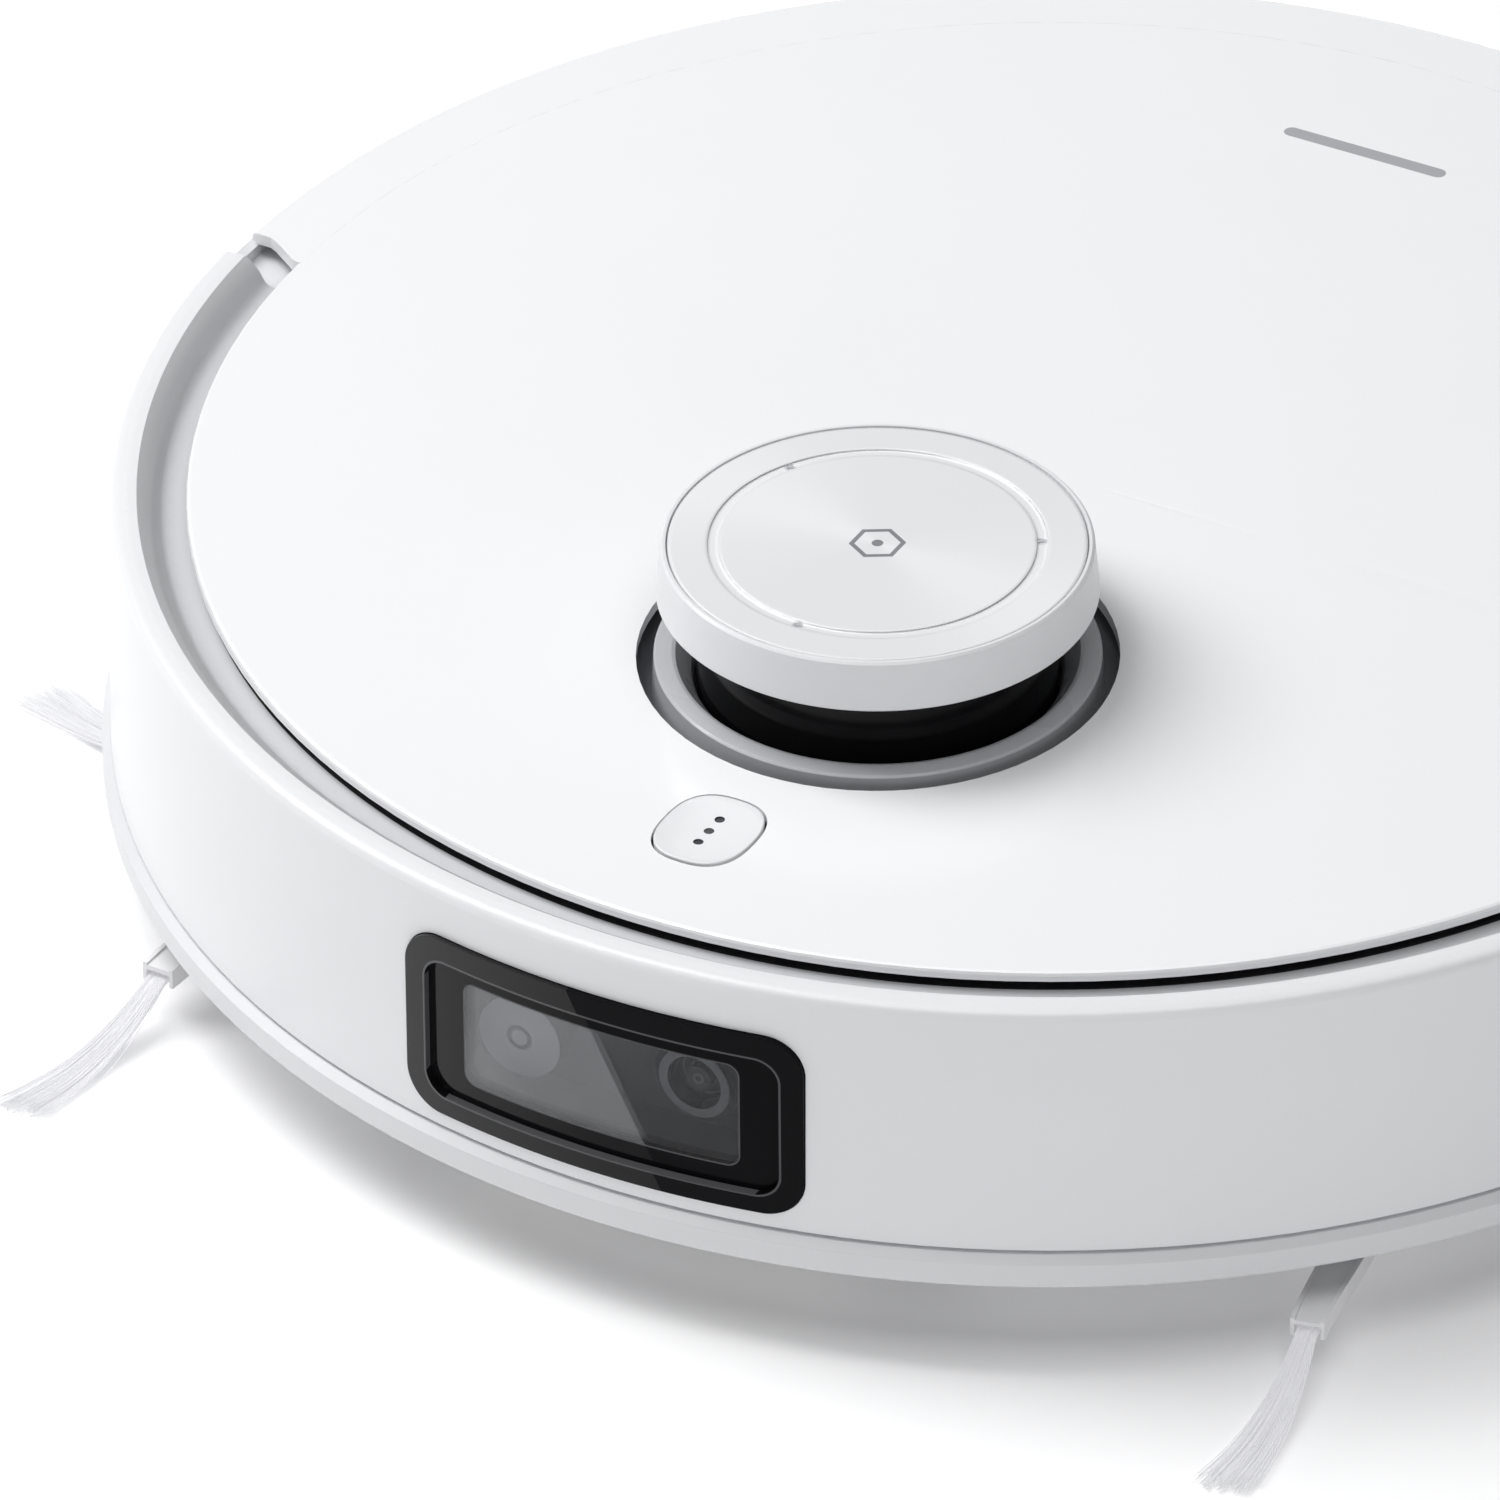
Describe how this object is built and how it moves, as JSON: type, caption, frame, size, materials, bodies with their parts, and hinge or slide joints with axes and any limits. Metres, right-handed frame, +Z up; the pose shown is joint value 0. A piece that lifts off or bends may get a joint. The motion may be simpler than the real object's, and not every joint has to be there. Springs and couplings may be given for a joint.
{
  "type": "robotic floor cleaner",
  "caption": "Round white robotic floor cleaner with a raised range-finder turret, sprung front bumper with camera window, side brushes, roller brush, drive wheels and lift-off top cover.",
  "frame": {"origin": "on the floor, under the middle of the round body", "axes": "+Z up; the front with the bumper and camera window faces -Y; +X is on the right when looking from above with the front towards the viewer's feet"},
  "size_m": [0.3844, 0.3619, 0.1035],
  "materials": {
    "shell_white": "satin gloss",
    "bumper_white": "satin gloss",
    "lip_white": "satin",
    "chassis_grey": "satin",
    "deck_grey": "matt",
    "black_gloss": "high gloss",
    "window_glass": "tinted",
    "camera_grey": "matt",
    "lens_black": "gloss",
    "cap_plate": "circular brushed",
    "ring_grey": "satin gloss",
    "soft_black": "matt",
    "bristle_white": "fine bristle",
    "fin_rubber": "matt",
    "dark_plastic": "matt",
    "steel": "plain",
    "gear_white": "satin",
    "tyre": "matt",
    "board_green": "satin",
    "battery_blue": "satin",
    "bin_clear": "smoked",
    "filter_fabric": "pleated",
    "contact_metal": "polished",
    "magnet_metal": "plated"
  },
  "bodies": {
    "base": {"chassis_base": "chassis_grey", "mid_deck": "deck_grey", "bumper_springs": "steel", "bumper_switches": "dark_plastic", "camera_housing": "camera_grey", "camera_modules": "lens_black", "turret_base_ring": "ring_grey", "lidar_window": "black_gloss", "turret_springs": "steel", "lidar_belt": "soft_black", "lidar_motor": "steel", "main_board": "board_green", "battery_pack": "battery_blue", "fan_housing": "dark_plastic", "fan_motor": "steel", "brush_housing": "dark_plastic", "brush_frame": "dark_plastic", "main_brush_motor": "steel", "side_brush_motors": "steel", "cliff_sensors": "black_gloss", "charging_contacts": "contact_metal", "case_screws": "steel"},
    "cover": {"top_cover": "shell_white", "cover_magnets": "magnet_metal"},
    "dustbin": {"dustbin_box": "bin_clear", "dust_filter": "filter_fabric"},
    "bin_lid": {"dustbin_lid": "dark_plastic"},
    "bin_handle": {"dustbin_handle": "ring_grey"},
    "bumper_body": {"bumper": "bumper_white", "bumper_lip": "lip_white", "camera_bezel": "black_gloss", "camera_glass": "window_glass"},
    "button": {"button_key": "shell_white"},
    "cap": {"turret_cap": "shell_white", "turret_cap_plate": "cap_plate"},
    "lidar": {"lidar_rotor": "dark_plastic"},
    "belt_pulley": {"lidar_pulley": "gear_white"},
    "fan": {"fan_impeller": "gear_white"},
    "roller_brush": {"main_brush_core": "dark_plastic", "main_brush_fins": "fin_rubber"},
    "side_left": {"side_brush_left": "lip_white", "side_bristles_left": "bristle_white"},
    "side_right": {"side_brush_right": "lip_white", "side_bristles_right": "bristle_white"},
    "arm_left": {"wheel_arm_left": "dark_plastic", "drive_motor_left": "steel"},
    "arm_right": {"wheel_arm_right": "dark_plastic", "drive_motor_right": "steel"},
    "wheel_left": {"axle_gear_left": "gear_white", "wheel_rim_left": "dark_plastic", "wheel_tyre_left": "tyre"},
    "wheel_right": {"axle_gear_right": "gear_white", "wheel_rim_right": "dark_plastic", "wheel_tyre_right": "tyre"},
    "pinion_left": {"drive_pinion_left": "gear_white"},
    "pinion_right": {"drive_pinion_right": "gear_white"},
    "caster_swivel": {"caster_fork": "dark_plastic"},
    "caster_roller": {"caster_wheel": "dark_plastic"},
    "switch_slider": {"power_switch": "dark_plastic"}
  },
  "joints": [
    {"name": "top_cover_lift", "type": "slide", "parent": "base", "child": "cover", "axis": [0, 0, 1], "range_m": [0, 0.14]},
    {"name": "dustbin_lift", "type": "slide", "parent": "base", "child": "dustbin", "axis": [0, 0, 1], "range_m": [0, 0.07]},
    {"name": "dustbin_lid_hinge", "type": "hinge", "parent": "dustbin", "child": "bin_lid", "pos_m": [0, 0.045, 0.0646], "axis": [-1, 0, 0], "range_deg": [0, 40]},
    {"name": "dustbin_handle_hinge", "type": "hinge", "parent": "bin_lid", "child": "bin_handle", "pos_m": [0, 0.022, 0.0704], "axis": [-1, 0, 0], "range_deg": [0, 90]},
    {"name": "bumper_push", "type": "slide", "parent": "base", "child": "bumper_body", "axis": [0, 1, 0], "range_m": [0, 0.0035], "stiffness_N_per_m": 900, "springref_m": -0.001, "deforming": ["bumper_springs"]},
    {"name": "button_press", "type": "slide", "parent": "base", "child": "button", "axis": [0, 0, -1], "range_m": [0, 0.0008], "stiffness_N_per_m": 2000, "springref_m": -0.0005},
    {"name": "turret_cap_press", "type": "slide", "parent": "base", "child": "cap", "axis": [0, 0, -1], "range_m": [0, 0.0015], "stiffness_N_per_m": 2500, "springref_m": -0.001, "deforming": ["turret_springs"]},
    {"name": "lidar_spin", "type": "hinge", "parent": "base", "child": "lidar", "pos_m": [0, -0.0685, 0.075], "axis": [0, 0, 1], "continuous": true},
    {"name": "lidar_pulley_spin", "type": "hinge", "parent": "base", "child": "belt_pulley", "pos_m": [0.04, -0.1, 0.0645], "axis": [0, 0, 1], "continuous": true},
    {"name": "fan_spin", "type": "hinge", "parent": "base", "child": "fan", "pos_m": [0, 0.09, 0.037], "axis": [0, 0, 1], "continuous": true},
    {"name": "main_brush_spin", "type": "hinge", "parent": "base", "child": "roller_brush", "pos_m": [0, -0.058, 0.0232], "axis": [1, 0, 0], "continuous": true},
    {"name": "side_brush_left_spin", "type": "hinge", "parent": "base", "child": "side_left", "pos_m": [-0.116, -0.093, 0.01], "axis": [0, 0, 1], "continuous": true},
    {"name": "side_brush_right_spin", "type": "hinge", "parent": "base", "child": "side_right", "pos_m": [0.116, -0.093, 0.01], "axis": [0, 0, 1], "continuous": true},
    {"name": "wheel_arm_left_swing", "type": "hinge", "parent": "base", "child": "arm_left", "pos_m": [-0.1015, 0.064, 0.052], "axis": [1, 0, 0], "range_deg": [0, 18]},
    {"name": "wheel_arm_right_swing", "type": "hinge", "parent": "base", "child": "arm_right", "pos_m": [0.1015, 0.064, 0.052], "axis": [1, 0, 0], "range_deg": [0, 18]},
    {"name": "wheel_left_spin", "type": "hinge", "parent": "arm_left", "child": "wheel_left", "pos_m": [-0.118, 0.016, 0.034], "axis": [1, 0, 0], "continuous": true},
    {"name": "wheel_right_spin", "type": "hinge", "parent": "arm_right", "child": "wheel_right", "pos_m": [0.118, 0.016, 0.034], "axis": [1, 0, 0], "continuous": true},
    {"name": "pinion_left_spin", "type": "hinge", "parent": "arm_left", "child": "pinion_left", "pos_m": [-0.1015, 0.03014, 0.04814], "axis": [1, 0, 0], "continuous": true},
    {"name": "pinion_right_spin", "type": "hinge", "parent": "arm_right", "child": "pinion_right", "pos_m": [0.1015, 0.03014, 0.04814], "axis": [1, 0, 0], "continuous": true},
    {"name": "caster_swivel_turn", "type": "hinge", "parent": "base", "child": "caster_swivel", "pos_m": [0, -0.124, 0.044], "axis": [0, 0, 1], "continuous": true},
    {"name": "caster_roll", "type": "hinge", "parent": "caster_swivel", "child": "caster_roller", "pos_m": [0, -0.116, 0.015], "axis": [1, 0, 0], "continuous": true},
    {"name": "power_switch_slide", "type": "slide", "parent": "base", "child": "switch_slider", "axis": [1, 0, 0], "range_m": [0, 0.004]}
  ],
  "couplings": [
    {"joint": "dustbin_lift", "follows": "top_cover_lift", "ratio": 0.5},
    {"joint": "dustbin_lid_hinge", "follows": "top_cover_lift", "rad_per_m": 4.9867},
    {"joint": "dustbin_handle_hinge", "follows": "top_cover_lift", "rad_per_m": 11.22},
    {"joint": "lidar_pulley_spin", "follows": "lidar_spin", "ratio": 5.2},
    {"joint": "pinion_left_spin", "follows": "wheel_left_spin", "ratio": -3},
    {"joint": "pinion_right_spin", "follows": "wheel_right_spin", "ratio": -3}
  ]
}
